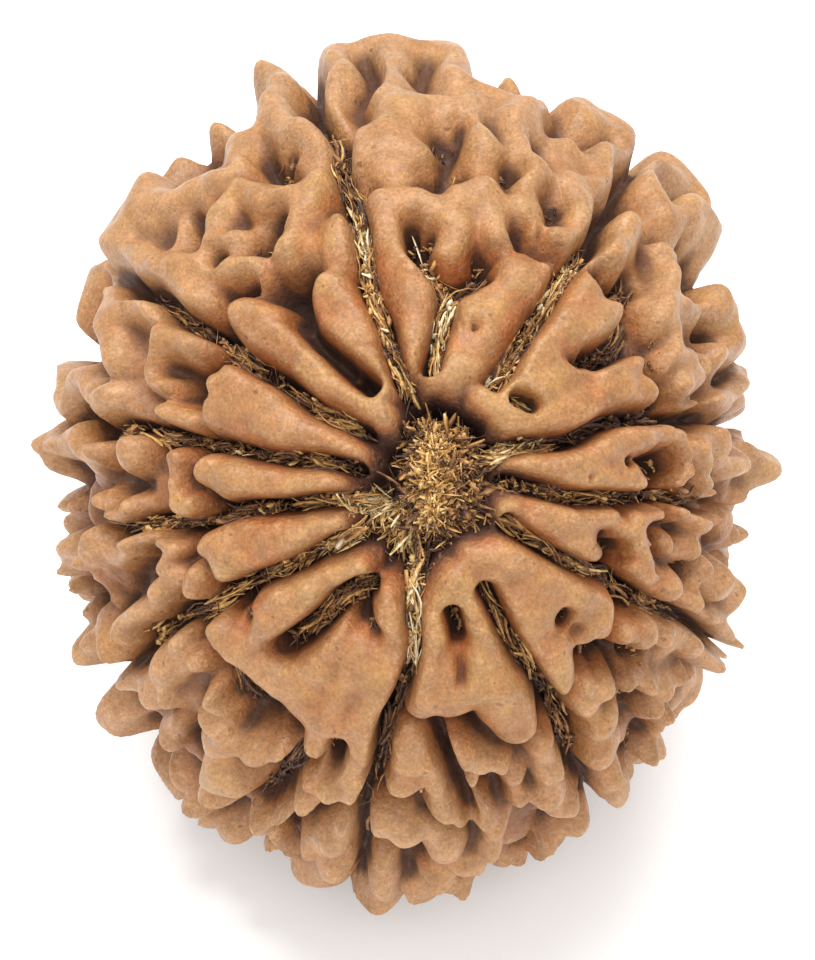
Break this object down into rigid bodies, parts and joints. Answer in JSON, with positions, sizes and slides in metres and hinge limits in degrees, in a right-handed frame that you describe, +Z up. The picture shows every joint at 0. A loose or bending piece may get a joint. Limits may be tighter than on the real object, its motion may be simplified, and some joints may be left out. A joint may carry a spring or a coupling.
{
  "type": "rudraksha seed",
  "caption": "Egg-shaped warty seed with deep grooves from pole to pole, wedge-shaped lobes round a fibrous pole and a small flat spot to rest on.",
  "frame": {"origin": "under the middle of the seed's box, on the surface that it rests on", "axes": "+Z up; the fibrous pole is tipped up towards -Y, 50 degrees over the horizontal; +X to the right seen from -Y"},
  "size_m": [0.024, 0.0266, 0.0258],
  "materials": {
    "seed_shell": "waxy satin, brown with darker grooves",
    "dry_fibre": "matt, golden"
  },
  "bodies": {
    "root": {"seed": "seed_shell"}
  },
  "joints": []
}
